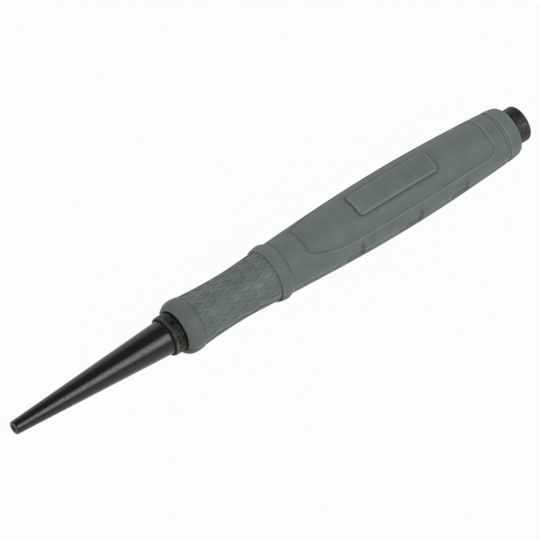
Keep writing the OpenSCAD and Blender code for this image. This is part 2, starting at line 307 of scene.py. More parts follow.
def add_camera():
    """Camera at the photograph's angle, aimed so that the tool falls on the photograph's pixels."""
    back = math.cos(VIEW_LEAN) * FACING - math.sin(VIEW_LEAN) * TOOL_AXIS
    along = math.cos(VIEW_LEAN) * TOOL_AXIS + math.sin(VIEW_LEAN) * FACING
    right = math.cos(IMAGE_SLOPE) * along + math.sin(IMAGE_SLOPE) * ACROSS
    up = math.sin(IMAGE_SLOPE) * along - math.cos(IMAGE_SLOPE) * ACROSS
    pixel = CAMERA_DISTANCE * MM / FOCAL_PX
    middle = PHOTO_PX / 2
    aside = (middle - MIDDLE_PX[0]) * pixel * right - (middle - MIDDLE_PX[1]) * pixel * up
    data = bpy.data.cameras.new("camera")
    data.sensor_width = SENSOR
    data.lens = FOCAL_PX / PHOTO_PX * SENSOR
    data.clip_end = 100
    camera = add_object("camera", data)
    turned = Matrix((right, up, back)).transposed().to_4x4()
    camera.matrix_world = Matrix.Translation(TOOL_MIDDLE + CAMERA_DISTANCE * MM * back + aside) @ turned
    bpy.context.scene.camera = camera


# Mesh helpers

def spot(place, radius, turn):
    """Point in metres at a place along the tool, a radius and a turn."""
    return Vector((TIP_X + place, -radius * math.sin(turn), AXIS_Z + radius * math.cos(turn))) * MM


def ease(part):
    """Quarter wave that leaves the crest of a curve level."""
    return 1 - math.cos(math.pi / 2 * part)


def smooth(part):
    """Soft step from 0 to 1."""
    part = min(max(part, 0), 1)
    return part * part * (3 - 2 * part)


def steps(start, end, count):
    """Evenly spaced values from start to end, both included."""
    return [start + (end - start) * index / count for index in range(count + 1)]


def swell(end_place, end_r, crest_place, crest_r):
    """Outline from the end of a swell to its crest."""
    return [(crest_place - (crest_place - end_place) * part, crest_r - (crest_r - end_r) * ease(part))
            for part in steps(1, 0, ROUND_STEPS)]


def quarter(start, end, level_first):
    """Quarter ellipse between two outline points, level at its start or at its end."""
    points = []
    for turn in steps(0, math.pi / 2, ROUND_STEPS):
        along, rise = (math.sin(turn), 1 - math.cos(turn))
        if not level_first:
            along, rise = rise, along
        points.append((start[0] + (end[0] - start[0]) * along, start[1] + (end[1] - start[1]) * rise))
    return points


def new_piece(name, points, faces, materials):
    """Object at the origin from points and faces, with merged doubles and outward normals."""
    mesh = bpy.data.meshes.new(name)
    mesh.from_pydata(points, [], faces)
    shape = bmesh.new()
    shape.from_mesh(mesh)
    finish_shape(shape, mesh)
    for material in materials:
        mesh.materials.append(material)
    return add_object(name, mesh)


def finish_shape(shape, mesh, crease=CREASE):
    """Close a shape's seams, turn its faces outwards and write it to a mesh with creases."""
    bmesh.ops.remove_doubles(shape, verts=shape.verts, dist=MERGE_DISTANCE * MM)
    bmesh.ops.recalc_face_normals(shape, faces=shape.faces)
    for face in shape.faces:
        face.smooth = True
    shape.to_mesh(mesh)
    shape.free()
    mesh.set_sharp_from_angle(angle=crease)


def skin(rings, loop=False):
    """Quads between rings of equally many points; loop joins the last ring to the first."""
    count = len(rings[0])
    points = [point for ring in rings for point in ring]
    faces = []
    for row in range(len(rings) if loop else len(rings) - 1):
        here = row * count
        there = (row + 1) % len(rings) * count
        for column in range(count):
            side = (column + 1) % count
            faces.append((here + column, there + column, there + side, here + side))
    return points, faces


def seam_height(radius, turn):
    """Height of the mould's parting line, which runs along both sides of the grip."""
    away = abs(abs(math.remainder(turn, 2 * math.pi)) - math.pi / 2) * radius
    return SEAM_HEIGHT * max(0.0, 1 - away / SEAM_HALF_W)


def turned_columns(radius=None):
    """Turns round the axis; a radius adds close columns for the parting line."""
    turns = steps(0, 2 * math.pi, TURNED_COLUMNS)[:-1]
    if radius:
        for middle in (math.pi / 2, math.pi * 3 / 2):
            turns += [middle + share * SEAM_HALF_W / radius for share in (-1, -0.5, 0.5, 1)]
    return sorted(turns)


def turned_rings(outline, turns):
    """Rings of points round the axis for an outline of places and radii."""
    return [[spot(place, radius, turn) for turn in turns] for place, radius in outline]


def bell(distance, width):
    """Soft bump of height 1 that fades with a distance."""
    return math.exp(-(distance / width) ** 2)


def worn_line(mark, distance):
    """Rub or grime at a distance from the edge that a line follows."""
    strength, offset, width = mark
    return strength * bell(distance - offset, width)


def mark_points(piece, name, value_at):
    """Store a value from -1 to 1 at each point, from its place, radius and turn.

    The value is above zero where a piece is worn or a highlight is painted on it, and below zero where shade
    is painted on it.
    Polish is 1 where the grip is smooth.
    """
    store = piece.data.attributes.new(name, "FLOAT", "POINT")
    for index, vert in enumerate(piece.data.vertices):
        point = vert.co / MM
        height = point.z - AXIS_Z
        value = value_at(point.x - TIP_X, math.hypot(point.y, height), math.atan2(-point.y, height))
        store.data[index].value = min(max(value, -1), 1)


def hand_over(piece, node):
    """Let a piece stand for its CAD node."""
    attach(piece, "root")
    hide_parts(node)


# Materials

NUMBER = "NodeSocketFloat"


class Nodes:
    """Short way to add and join nodes in one tree."""

    def __init__(self, tree):
        self.tree = tree

    def add(self, kind, inputs=None, **settings):
        node = self.tree.nodes.new(kind)
        for key, value in settings.items():
            setattr(node, key, value)
        for key, value in (inputs or {}).items():
            if isinstance(value, bpy.types.NodeSocket):
                self.link(value, node.inputs[key])
            else:
                node.inputs[key].default_value = value
        return node

    def math(self, operation, first, second=0.0, third=0.0, clamp=False):
        inputs = {0: first, 1: second, 2: third}
        return self.add("ShaderNodeMath", inputs, operation=operation, use_clamp=clamp).outputs[0]

    def link(self, start, end):
        self.tree.links.new(start, end)

    def object_place(self):
        return self.add("ShaderNodeTexCoord").outputs["Object"]

    def parts(self, vector):
        return self.add("ShaderNodeSeparateXYZ", {0: vector}).outputs

    def mark(self, name):
        """Value that mark_points stored under a name."""
        return self.add("ShaderNodeAttribute", attribute_name=name).outputs["Fac"]

    def spread(self, value, low, high, to_low=0.0, to_high=1.0, curve="LINEAR"):
        """Value stretched from one range to another and clamped."""
        inputs = {"Value": value, "From Min": low, "From Max": high, "To Min": to_low, "To Max": to_high}
        return self.add("ShaderNodeMapRange", inputs, interpolation_type=curve).outputs[0]

    def blend(self, share, low, high):
        """Colour that goes from low to high with a share; either end is a colour or a socket."""
        low, high = ((*end, 1) if isinstance(end, tuple) else end for end in (low, high))
        node = self.add("ShaderNodeMix", {"Factor": share, "A": low, "B": high}, data_type="RGBA")
        return next(socket for socket in node.outputs if socket.type == "RGBA")


def new_group(name, kind, inputs, outputs):
    """Node group: each input has a number as its default or a socket type, each output a socket type."""
    tree = bpy.data.node_groups.new(name, kind)
    for label, value in inputs.items():
        typed = isinstance(value, str)
        socket = tree.interface.new_socket(label, in_out="INPUT", socket_type=value if typed else NUMBER)
        if not typed:
            socket.default_value = value
    for label, socket_type in outputs.items():
        tree.interface.new_socket(label, in_out="OUTPUT", socket_type=socket_type)
    nodes = Nodes(tree)
    return tree, nodes, nodes.add("NodeGroupInput"), nodes.add("NodeGroupOutput")


def moulded_grain_group():
    """Eroded grain of a mould: slow clouds, fine pits and the height that they make."""
    tree, nodes, given, result = new_group(
        "moulded grain", "ShaderNodeTree",
        {"Grain Scale": 2600.0, "Cloud Scale": 240.0}, {"Tone": NUMBER, "Height": NUMBER})
    place = nodes.object_place()
    cloud = nodes.add("ShaderNodeTexNoise", {"Vector": place, "Scale": given.outputs["Cloud Scale"],
                                             "Detail": 4.0, "Roughness": 0.6})
    grain = nodes.add("ShaderNodeTexNoise", {"Vector": place, "Scale": given.outputs["Grain Scale"],
                                             "Detail": 3.0, "Roughness": 0.65})
    pits = nodes.add("ShaderNodeTexVoronoi", {"Vector": place, "Scale": given.outputs["Grain Scale"]},
                     feature="SMOOTH_F1")
    slow = nodes.math("MULTIPLY", cloud.outputs[0], 0.6)
    tone = nodes.math("MULTIPLY_ADD", grain.outputs[0], 0.4, slow)
    height = nodes.math("MULTIPLY_ADD", pits.outputs["Distance"], 0.5, grain.outputs[0])
    nodes.link(tone, result.inputs["Tone"])
    nodes.link(height, result.inputs["Height"])
    return tree


def parting_line_group():
    """Painted highlight on the parting line that the two halves of the mould leave along both sides of the
    grip, and painted shade just below it.
    """
    tree, nodes, given, result = new_group(
        "parting line", "ShaderNodeTree",
        {"Axis Height": AXIS_Z * MM, "Width": SEAM_HALF_W * MM}, {"Painted Highlight": NUMBER, "Painted Shade": NUMBER})
    height = nodes.parts(nodes.object_place())["Z"]
    above = nodes.math("SUBTRACT", height, given.outputs["Axis Height"])
    away = nodes.math("DIVIDE", above, given.outputs["Width"])
    for label, middle, flat, reach in SEAM_LINES:
        far = nodes.math("ABSOLUTE", nodes.math("SUBTRACT", away, middle))
        nodes.link(nodes.spread(far, flat, reach, 1.0, 0.0, "SMOOTHSTEP"), result.inputs[label])
    return tree


def plate_shadow_group():
    """Painted shadow round the foot of the plate, on the grip's upper half."""
    tree, nodes, given, result = new_group(
        "painted plate shadow", "ShaderNodeTree",
        {"Middle": (TIP_X + PLATE_MIDDLE) * MM, "Length": PLATE_LEN * MM, "Width": PLATE_W * MM,
         "Corner": PLATE_CORNER * MM, "Line Width": PLATE_SHADOW_LINE * MM, "Axis Height": AXIS_Z * MM},
        {"Line": NUMBER})
    wanted = given.outputs
    place = nodes.parts(nodes.object_place())
    along = nodes.math("SUBTRACT", place["X"], wanted["Middle"])
    reach = []
    for across, size in ((along, "Length"), (place["Y"], "Width")):
        half = nodes.math("SUBTRACT", nodes.math("MULTIPLY", wanted[size], 0.5), wanted["Corner"])
        over = nodes.math("SUBTRACT", nodes.math("ABSOLUTE", across), half)
        reach.append(nodes.math("POWER", nodes.math("MAXIMUM", over, 0.0), 2.0))
    away = nodes.math("SUBTRACT", nodes.math("SQRT", nodes.math("ADD", *reach)), wanted["Corner"])
    line = nodes.spread(away, 0.0, wanted["Line Width"], 1.0, 0.0, "SMOOTHSTEP")
    tail_end = nodes.math("MULTIPLY", wanted["Line Width"], PLATE_SHADOW_REACH)
    tail = nodes.spread(away, 0.0, tail_end, PLATE_SHADOW_TAIL, 0.0, "SMOOTHSTEP")
    dark = nodes.math("MAXIMUM", line, tail)
    above = nodes.math("GREATER_THAN", place["Z"], wanted["Axis Height"])
    nodes.link(nodes.math("MULTIPLY", dark, above), result.inputs["Line"])
    return tree


def black_oxide_group():
    """Blackened steel: blotches of the bath and fine scratches round the bar."""
    tree, nodes, given, result = new_group(
        "black oxide", "ShaderNodeTree",
        {"Blotch Scale": 500.0, "Scratch Scale": 3000.0}, {"Blotch": NUMBER, "Scratch": NUMBER})
    place = nodes.object_place()
    blotch = nodes.add("ShaderNodeTexNoise", {"Vector": place, "Scale": given.outputs["Blotch Scale"],
                                              "Detail": 5.0, "Roughness": 0.62})
    rings = nodes.add("ShaderNodeMapping", {"Vector": place, "Scale": SCRATCH_STRETCH})
    scratch = nodes.add("ShaderNodeTexNoise", {"Vector": rings.outputs[0], "Detail": 2.0,
                                               "Scale": given.outputs["Scratch Scale"]})
    nodes.link(blotch.outputs[0], result.inputs["Blotch"])
    nodes.link(scratch.outputs[0], result.inputs["Scratch"])
    return tree


def new_material(name):
    """Node material with a plain shader: the material, its node helper and the shader."""
    material = bpy.data.materials.new(name)
    material.use_nodes = True
    material.node_tree.nodes.clear()
    nodes = Nodes(material.node_tree)
    shader = nodes.add("ShaderNodeBsdfPrincipled")
    output = nodes.add("ShaderNodeOutputMaterial")
    nodes.link(shader.outputs[0], output.inputs["Surface"])
    return material, nodes, shader


def moulded_material(name, dark, light, roughness, grain_scale, bump, seat=None):
    """Matt moulded grip material, lighter where highlights are painted on its edges and darker where shade is
    painted in its corners.
    """
    material, nodes, shader = new_material(name)
    group = nodes.add("ShaderNodeGroup", node_tree=GRAIN)
    group.inputs["Grain Scale"].default_value = grain_scale
    tone = nodes.spread(group.outputs["Tone"], *TONE_SPAN)
    seam = nodes.add("ShaderNodeGroup", node_tree=SEAM)
    wear_and_painted_light = nodes.mark("wear_and_painted_light")
    painted_highlight = nodes.math("MAXIMUM", wear_and_painted_light, nodes.math("MULTIPLY", seam.outputs["Painted Highlight"], SEAM_HIGHLIGHT))
    seam_painted_shade = nodes.math("MULTIPLY", seam.outputs["Painted Shade"], SEAM_SHADE)
    painted_shade = nodes.math("MAXIMUM", nodes.math("MULTIPLY", wear_and_painted_light, -1.0), seam_painted_shade)
    # Painted shadow round the plate's foot
    if seat:
        painted_shade = nodes.math("MAXIMUM", painted_shade, nodes.add("ShaderNodeGroup", node_tree=seat).outputs["Line"])
    colour = nodes.blend(tone, dark, light)
    # Painted highlights blend in a lighter colour, painted shade a near-black one
    colour = nodes.blend(nodes.math("MULTIPLY", painted_highlight, 1.0, clamp=True), colour, PAINTED_HIGHLIGHT_COLOUR)
    colour = nodes.blend(nodes.math("MULTIPLY", painted_shade, 1.0, clamp=True), colour, PAINTED_SHADE_COLOUR)
    nodes.link(colour, shader.inputs["Base Color"])
    rough = nodes.spread(group.outputs["Tone"], *TONE_SPAN, roughness + TONE_GLOSS, roughness - TONE_GLOSS)
    polish = nodes.mark("polish")
    nodes.link(nodes.math("MULTIPLY_ADD", polish, -POLISH, rough), shader.inputs["Roughness"])
    bumped = nodes.add("ShaderNodeBump", {"Height": group.outputs["Height"], "Strength": bump,
                                          "Distance": GRIP_BUMP_HEIGHT})
    nodes.link(bumped.outputs[0], shader.inputs["Normal"])
    shader.inputs["Specular IOR Level"].default_value = GRIP_SPECULAR
    shader.inputs["Diffuse Roughness"].default_value = GRIP_FUZZ
    return material


def steel_material(name, dark, light, roughness, specular, blotch_scale, scratch, bump):
    """Blackened steel, ground or rough, lighter towards worn steel where it is worn and where a highlight is
    painted, and black and dull where shade is painted.
    """
    material, nodes, shader = new_material(name)
    group = nodes.add("ShaderNodeGroup", node_tree=OXIDE)
    group.inputs["Blotch Scale"].default_value = blotch_scale
    blotch = nodes.spread(group.outputs["Blotch"], *BLOTCH_SPAN)
    wear_and_painted_light = nodes.mark("wear_and_painted_light")
    # Above zero the mark lightens the oxide for real wear and for painted highlights; below zero it paints
    # shade, black and dull
    patches = nodes.spread(group.outputs["Blotch"], *BARE_SPAN, BARE_LEAST, 1.0)
    bare_and_lit = nodes.math("MULTIPLY", wear_and_painted_light, patches, clamp=True)
    unshaded = nodes.math("ADD", wear_and_painted_light, 1.0, clamp=True)
    colour = nodes.blend(bare_and_lit, nodes.blend(blotch, dark, light), BARE_AND_LIT_STEEL)
    nodes.link(nodes.blend(unshaded, (0, 0, 0), colour), shader.inputs["Base Color"])
    gloss = (roughness + GLOSS_LESS, roughness - GLOSS_MORE)
    rough = nodes.spread(group.outputs["Blotch"], *GLOSS_SPAN, *gloss)
    dull = nodes.math("SUBTRACT", 1.0, unshaded)
    nodes.link(nodes.math("MAXIMUM", rough, dull), shader.inputs["Roughness"])
    height = nodes.math("MULTIPLY_ADD", group.outputs["Scratch"], scratch, group.outputs["Blotch"])
    bumped = nodes.add("ShaderNodeBump", {"Height": height, "Strength": bump, "Distance": STEEL_BUMP_HEIGHT})
    nodes.link(bumped.outputs[0], shader.inputs["Normal"])
    shader.inputs["Specular IOR Level"].default_value = specular
    shader.inputs["Specular Tint"].default_value = (*STEEL_TINT, 1)
    return material


# Pieces

def head_wear_and_painted_light(radius, turn):
    """Worn face of the struck head, a worn patch with a painted highlight on one side of its rim, and painted
    shade round the rest of the rim.
    """
    if radius < HEAD_R - HEAD_EDGE - FIT:
        return HEAD_FACE_BARE * (1 - bell(radius, HEAD_R / 2) / 2)
    # Worn patch and painted highlight on one side of the rim, painted shade away from it
    away = abs(math.remainder(turn - HEAD_HIGHLIGHT_TURN, 2 * math.pi))
    return HEAD_WORN_AND_HIGHLIGHT * bell(away, HEAD_HIGHLIGHT_FADE) - HEAD_SHADE * smooth((away - HEAD_SHADE_TURN) / HEAD_SHADE_FADE)


def punch_wear_and_painted_light(place, radius, turn):
    """Painted highlight on the collar's front edge, painted shade at its foot and under the grip's lip, and
    the worn head.
    """
    if place < TAPER_LEN - COLLAR_FOOT_REACH:
        return 0
    if place > HEAD_PLACE - FIT and (radius > SHANK_R + FIT or place > TOOL_LEN - FIT):
        return head_wear_and_painted_light(radius, turn)
    behind = place - TAPER_LEN
    # Painted shade on the collar under the grip's lip
    value = -smooth((place - LIP_PLACE + LIP_SHADE_LEN) / LIP_SHADE_LEN)
    # Painted highlight on the collar's front edge
    if radius > COLLAR_R - COLLAR_EDGE:
        low = smooth((turn - COLLAR_LOW_TURN) / COLLAR_LOW_FADE)
        far = smooth((COLLAR_FAR_TURN - turn) / COLLAR_FAR_FADE)
        value += (COLLAR_HIGHLIGHT + COLLAR_SIDE_HIGHLIGHT * (low + far)) * bell(behind - COLLAR_HIGHLIGHT_PLACE, COLLAR_HIGHLIGHT_W)
    # Painted shade at the collar's foot
    if radius < COLLAR_R - COLLAR_EDGE / 2:
        value -= bell(behind, COLLAR_FOOT_SHADE_W)
    return value


def make_punch(ground, rough, struck):
    """One bar from the cupped tip to the struck head, with the hidden shank."""
    ball_r = (CUP_R ** 2 + CUP_DEPTH ** 2) / (2 * CUP_DEPTH)
    half_angle = math.asin(CUP_R / ball_r)
    outline = [(CUP_DEPTH - ball_r * (1 - math.cos(turn)), ball_r * math.sin(turn))
               for turn in steps(0, half_angle, ROUND_STEPS)]
    outline += [(0, TIP_R - TIP_BEVEL)]
    outline += quarter((0, TIP_R - TIP_BEVEL), (TIP_BEVEL, TIP_R), False)
    outline += [(place, TIP_R + (TAPER_R - TIP_R) * (place - TIP_BEVEL) / (TAPER_LEN - TIP_BEVEL))
                for place in steps(TIP_BEVEL, TAPER_LEN, TAPER_ROWS)]
    shank_place = LIP_PLACE + COLLAR_SEAT
    outline += quarter((TAPER_LEN, COLLAR_R - COLLAR_EDGE), (TAPER_LEN + COLLAR_EDGE, COLLAR_R), False)
    outline += [(place, COLLAR_R) for place in steps(TAPER_LEN + COLLAR_EDGE, shank_place, COLLAR_ROWS)[1:]]
    outline += [(shank_place, SHANK_R), (HEAD_PLACE, SHANK_R)]
    outline += [(place, HEAD_R) for place in steps(HEAD_PLACE, TOOL_LEN - HEAD_EDGE, HEAD_ROWS)]
    outline += quarter((TOOL_LEN - HEAD_EDGE, HEAD_R), (TOOL_LEN, HEAD_R - HEAD_EDGE), True)
    outline += [(TOOL_LEN, radius) for radius in steps(HEAD_R - HEAD_EDGE, 0, FACE_ROWS)[1:]]
    points, faces = skin(turned_rings(outline, turned_columns()))
    piece = new_piece("punch", points, faces, [ground, rough, struck])
    ends = [(TIP_X + place) * MM for place in (TAPER_LEN + FIT, HEAD_PLACE - FIT)]
    for face in piece.data.polygons:
        face.material_index = sum(face.center.x > end for end in ends)
    mark_points(piece, "wear_and_painted_light", punch_wear_and_painted_light)
    return piece


def make_moulded_ring(name, outline, seam_rows, material, wear_and_painted_light):
    """Closed ring from an outline, with the parting line on its outer rows."""
    turns = turned_columns(BAND_R)
    rings = []
    for index, (place, radius) in enumerate(outline):
        rise = 1 if index in seam_rows else 0
        rings.append([spot(place, radius + rise * seam_height(radius, turn), turn) for turn in turns])
    points, faces = skin(rings, loop=True)
    piece = new_piece(name, points, faces, [material])
    mark_points(piece, "wear_and_painted_light", wear_and_painted_light)
    return piece


def make_core(material):
    """Core sleeve with the rounded front band."""
    outer = quarter((LIP_PLACE, LIP_R), (LIP_PLACE + BAND_ROUND, BAND_R), False)
    outer += swell(NECK_PLACE, BAND_REAR_R, LIP_PLACE + BAND_ROUND, BAND_R)[::-1]
    seat = LIP_PLACE + COLLAR_SEAT + FIT
    inner = [(NECK_PLACE, CORE_R), (CORE_END, CORE_R), (CORE_END, SHANK_R + FIT), (seat, SHANK_R + FIT),
             (seat, LIP_R)]

    def wear_and_painted_light(place, radius, turn):
        # Painted shade under the band's lip on the lower side and at the seam with the neck
        if radius < LIP_R:
            return 0
        low = smooth((abs(turn) - BAND_LIP_TURN) / BAND_LIP_FADE)
        lip = low * worn_line(BAND_LIP_SHADE, place - LIP_PLACE)
        return lip + worn_line(BAND_REAR_SHADE, place - NECK_PLACE)

    return make_moulded_ring("grip_core", outer + inner, range(1, len(outer)), material, wear_and_painted_light)


def make_cap(material):
    """Band behind the groove, round the struck head."""
    round_place = CAP_END - CAP_ROUND_LEN
    outer = quarter((CAP_PLACE, CAP_R - CAP_EDGE), (CAP_PLACE + CAP_EDGE, CAP_R), False)
    level = steps(CAP_PLACE + CAP_EDGE, CAP_PLACE + CAP_FRONT_LEN, CAP_ROWS)
    outer += [(place, CAP_R) for place in level[1:]]
    outer += quarter((round_place, CAP_REAR_R), (CAP_END, CAP_REAR_R - CAP_ROUND_RISE), True)
    seat = CORE_END + FIT
    inner = [(CAP_END, SHANK_R + FIT), (seat, SHANK_R + FIT), (seat, CORE_R + FIT), (CAP_PLACE, CORE_R + FIT)]

    def wear_and_painted_light(place, radius, turn):
        # Painted highlight on the cap's front edge
        return worn_line(CAP_EDGE_HIGHLIGHT, place - CAP_PLACE) if radius > CAP_REAR_R - CAP_HIGHLIGHT_DEPTH else 0

    return make_moulded_ring("end_cap", outer + inner, range(len(outer)), material, wear_and_painted_light)


def diamond_tree():
    """Geometry nodes that wrap a lattice of hollow diamonds round the neck."""
    counts = ("Diamonds Round", "Rows", "Lines")
    measures = ("Hollow Share", "Depth", "Cell Length", "Turn", "First Row", "Fade Length",
                "Front Place", "Waist Place", "Rear Place", "Front Radius", "Waist Radius", "Rear Radius",
                "Axis Height")
    inputs = {**dict.fromkeys(counts, "NodeSocketInt"), **dict.fromkeys(measures, NUMBER),
              "Material": "NodeSocketMaterial"}
    tree, nodes, given, result = new_group("diamond neck", "GeometryNodeTree", inputs,
                                           {"Geometry": "NodeSocketGeometry"})
    wanted = given.outputs
    combine = "ShaderNodeCombineXYZ"

    cell = nodes.add("GeometryNodeMeshGrid", {"Size X": 1.0, "Size Y": 1.0, "Vertices X": wanted["Lines"],
                                              "Vertices Y": wanted["Lines"]})
    corner = nodes.parts(nodes.add("GeometryNodeInputPosition").outputs[0])
    across = nodes.math("ABSOLUTE", corner["X"])
    along = nodes.math("ABSOLUTE", corner["Y"])
    reach = nodes.math("MAXIMUM", across, along)
    edge = nodes.math("MULTIPLY_ADD", wanted["Hollow Share"], 0.5, 0.01)
    hollow = nodes.math("LESS_THAN", reach, edge)
    round_share = nodes.math("MULTIPLY", nodes.math("ADD", corner["X"], corner["Y"]), 0.5)
    length_share = nodes.math("MULTIPLY", nodes.math("SUBTRACT", corner["X"], corner["Y"]), 0.5)
    flat = nodes.add(combine, {"X": round_share, "Y": length_share, "Z": hollow})
    diamond = nodes.add("GeometryNodeSetPosition", {"Geometry": cell.outputs["Mesh"],
                                                    "Position": flat.outputs[0]})

    count = nodes.math("MULTIPLY", wanted["Diamonds Round"], wanted["Rows"])
    index = nodes.add("GeometryNodeInputIndex").outputs[0]
    row = nodes.math("FLOOR", nodes.math("DIVIDE", nodes.math("ADD", index, 0.5), wanted["Diamonds Round"]))
    stagger = nodes.math("MULTIPLY", nodes.math("MODULO", row, 2.0), 0.5)
    column = nodes.math("SUBTRACT", index, nodes.math("MULTIPLY", row, wanted["Diamonds Round"]))
    lattice = nodes.add(combine, {"X": nodes.math("ADD", column, stagger),
                                  "Y": nodes.math("MULTIPLY", row, 0.5)})
    points = nodes.add("GeometryNodePoints", {"Count": count, "Position": lattice.outputs[0]})
    copies = nodes.add("GeometryNodeInstanceOnPoints", {"Points": points.outputs[0],
                                                        "Instance": diamond.outputs[0]})
    sheet = nodes.add("GeometryNodeRealizeInstances", {0: copies.outputs[0]})

    flat_at = nodes.parts(nodes.add("GeometryNodeInputPosition").outputs[0])
    pitch = nodes.math("DIVIDE", 2 * math.pi, wanted["Diamonds Round"])
    turn = nodes.math("MULTIPLY_ADD", flat_at["X"], pitch, wanted["Turn"])
    place = nodes.math("MULTIPLY_ADD", flat_at["Y"], wanted["Cell Length"], wanted["First Row"])
    radius = wanted["Waist Radius"]
    for end in ("Front", "Rear"):
        span = nodes.math("SUBTRACT", wanted[end + " Place"], wanted["Waist Place"])
        part = nodes.math("DIVIDE", nodes.math("SUBTRACT", place, wanted["Waist Place"]), span, clamp=True)
        wave = nodes.math("COSINE", nodes.math("MULTIPLY", part, math.pi / 2))
        gain = nodes.math("SUBTRACT", wanted[end + " Radius"], wanted["Waist Radius"])
        radius = nodes.math("MULTIPLY_ADD", nodes.math("SUBTRACT", 1.0, wave), gain, radius)
    left = nodes.math("SUBTRACT", wanted["Rear Place"], place)
    fade = nodes.math("DIVIDE", left, wanted["Fade Length"], clamp=True)
    depth = nodes.math("MULTIPLY", nodes.math("MULTIPLY", flat_at["Z"], wanted["Depth"]), fade)
    radius = nodes.math("SUBTRACT", radius, depth)
    side = nodes.math("MULTIPLY", nodes.math("SINE", turn), nodes.math("MULTIPLY", radius, -1.0))
    height = nodes.math("MULTIPLY_ADD", nodes.math("COSINE", turn), radius, wanted["Axis Height"])
    wrapped_at = nodes.add(combine, {"X": place, "Y": side, "Z": height})
    wrapped = nodes.add("GeometryNodeSetPosition", {"Geometry": sheet.outputs[0],
                                                    "Position": wrapped_at.outputs[0]})
    joined = nodes.add("GeometryNodeMergeByDistance", {"Geometry": wrapped.outputs[0],
                                                       "Distance": DIAMOND_MERGE_DISTANCE * MM})
    real = nodes.add("GeometryNodeRealizeInstances", {0: joined.outputs[0]})
    coloured = nodes.add("GeometryNodeSetMaterial", {"Geometry": real.outputs[0],
                                                     "Material": wanted["Material"]})
    nodes.link(coloured.outputs[0], result.inputs["Geometry"])
    return tree


def run_tree(name, tree, values):
    """Plain mesh that a geometry node tree makes from named values."""
    holder = add_object(name, bpy.data.meshes.new(name))
    modifier = holder.modifiers.new(name, "NODES")
    modifier.node_group = tree
    for socket in tree.interface.items_tree:
        if socket.in_out == "INPUT":
            modifier[socket.identifier] = values[socket.name]
    ready = holder.evaluated_get(bpy.context.evaluated_depsgraph_get())
    mesh = bpy.data.meshes.new_from_object(ready)
    holder.modifiers.remove(modifier)
    bpy.data.objects.remove(holder)
    return mesh


def hollow_edge(place, turn):
    """Distance from the edge of the nearest diamond hollow, in cells and inwards negative."""
    round_share = (turn - DIAMOND_TURN) * DIAMONDS_ROUND / (2 * math.pi)
    length_share = (place - NECK_PLACE - DIAMOND_START) / DIAMOND_LEN
    ways = (round_share + length_share, round_share - length_share)
    return max(abs(math.remainder(way, 1)) for way in ways) - DIAMOND_HOLLOW_SHARE / 2


def neck_painted_light(place, radius, turn):
    """Painted light of the neck: painted highlights on the lands round the hollows, painted shade inside
    their edges and at the neck's ends.
    """
    away = hollow_edge(place, turn)
    ends = worn_line(NECK_FRONT_SHADE, place - NECK_PLACE) + worn_line(NECK_REAR_SHADE, place - RING_PLACE)
    return worn_line(HOLLOW_EDGE_HIGHLIGHT, away) + worn_line(HOLLOW_CORNER_SHADE, away) + ends


def neck_polish(place, radius, turn):
    """Smoother floors of the hollows."""
    return smooth(-hollow_edge(place, turn) / HOLLOW_POLISH_W)


def make_neck(material):
    """Neck sleeve: the wrapped diamonds, cut square at both ends and closed round the bore."""
    rows = math.ceil((NECK_END - NECK_PLACE) / DIAMOND_LEN * 2) + DIAMOND_SPARE_ROWS
    front = TIP_X + NECK_PLACE - FIT
    mesh = run_tree("neck_grip", diamond_tree(), {
        "Diamonds Round": DIAMONDS_ROUND, "Rows": rows, "Lines": DIAMOND_LINES,
        "Hollow Share": DIAMOND_HOLLOW_SHARE, "Depth": DIAMOND_DEPTH * MM, "Cell Length": DIAMOND_LEN * MM,
        "Turn": DIAMOND_TURN, "First Row": (front + DIAMOND_START - DIAMOND_LEN) * MM,
        "Fade Length": DIAMOND_FADE * MM, "Front Place": front * MM,
        "Waist Place": (TIP_X + NECK_WAIST_PLACE) * MM, "Rear Place": (TIP_X + RING_PLACE) * MM,
        "Front Radius": NECK_FRONT_R * MM, "Waist Radius": NECK_WAIST_R * MM, "Rear Radius": NECK_REAR_R * MM,
        "Axis Height": AXIS_Z * MM, "Material": material})
    shape = bmesh.new()
    shape.from_mesh(mesh)
    rims = []
    for place, outward in ((NECK_PLACE, -1), (NECK_END, 1)):
        everything = shape.verts[:] + shape.edges[:] + shape.faces[:]
        cut = bmesh.ops.bisect_plane(shape, geom=everything, dist=1e-8, clear_outer=True,
                                     plane_co=spot(place, 0, 0), plane_no=(outward, 0, 0))
        edges = [item for item in cut["geom_cut"] if isinstance(item, bmesh.types.BMEdge)]
        grown = bmesh.ops.extrude_edge_only(shape, edges=edges)["geom"]
        for vert in (item for item in grown if isinstance(item, bmesh.types.BMVert)):
            turn = math.atan2(-vert.co.y, vert.co.z - AXIS_Z * MM)
            vert.co = spot(place, CORE_R + FIT, turn)
        rims += [item for item in grown if isinstance(item, bmesh.types.BMEdge)]
    bmesh.ops.bridge_loops(shape, edges=[edge for edge in rims if edge.is_boundary])
    finish_shape(shape, mesh, NECK_CREASE)
    piece = add_object("neck_grip", mesh)
    mark_points(piece, "wear_and_painted_light", neck_painted_light)
    mark_points(piece, "polish", neck_polish)
    return piece


def barrel_r(place):
    """Radius of the barrel, which swells to its belly."""
    end, end_r = (BARREL_PLACE, BARREL_FRONT_R) if place < BELLY_PLACE else (GROOVE_PLACE, BARREL_REAR_R)
    return BELLY_R - (BELLY_R - end_r) * ease((place - BELLY_PLACE) / (end - BELLY_PLACE))


def ring_r(place):
    """Radius of the ring in front of the barrel."""
    crest = RING_PLACE + RING_CREST
    if place < crest:
        return RING_R - (RING_R - RING_FRONT_R) * ease((crest - place) / RING_CREST)
    return RING_R - (RING_R - BARREL_FRONT_R) * ease((place - crest) / (RING_LEN - RING_CREST))


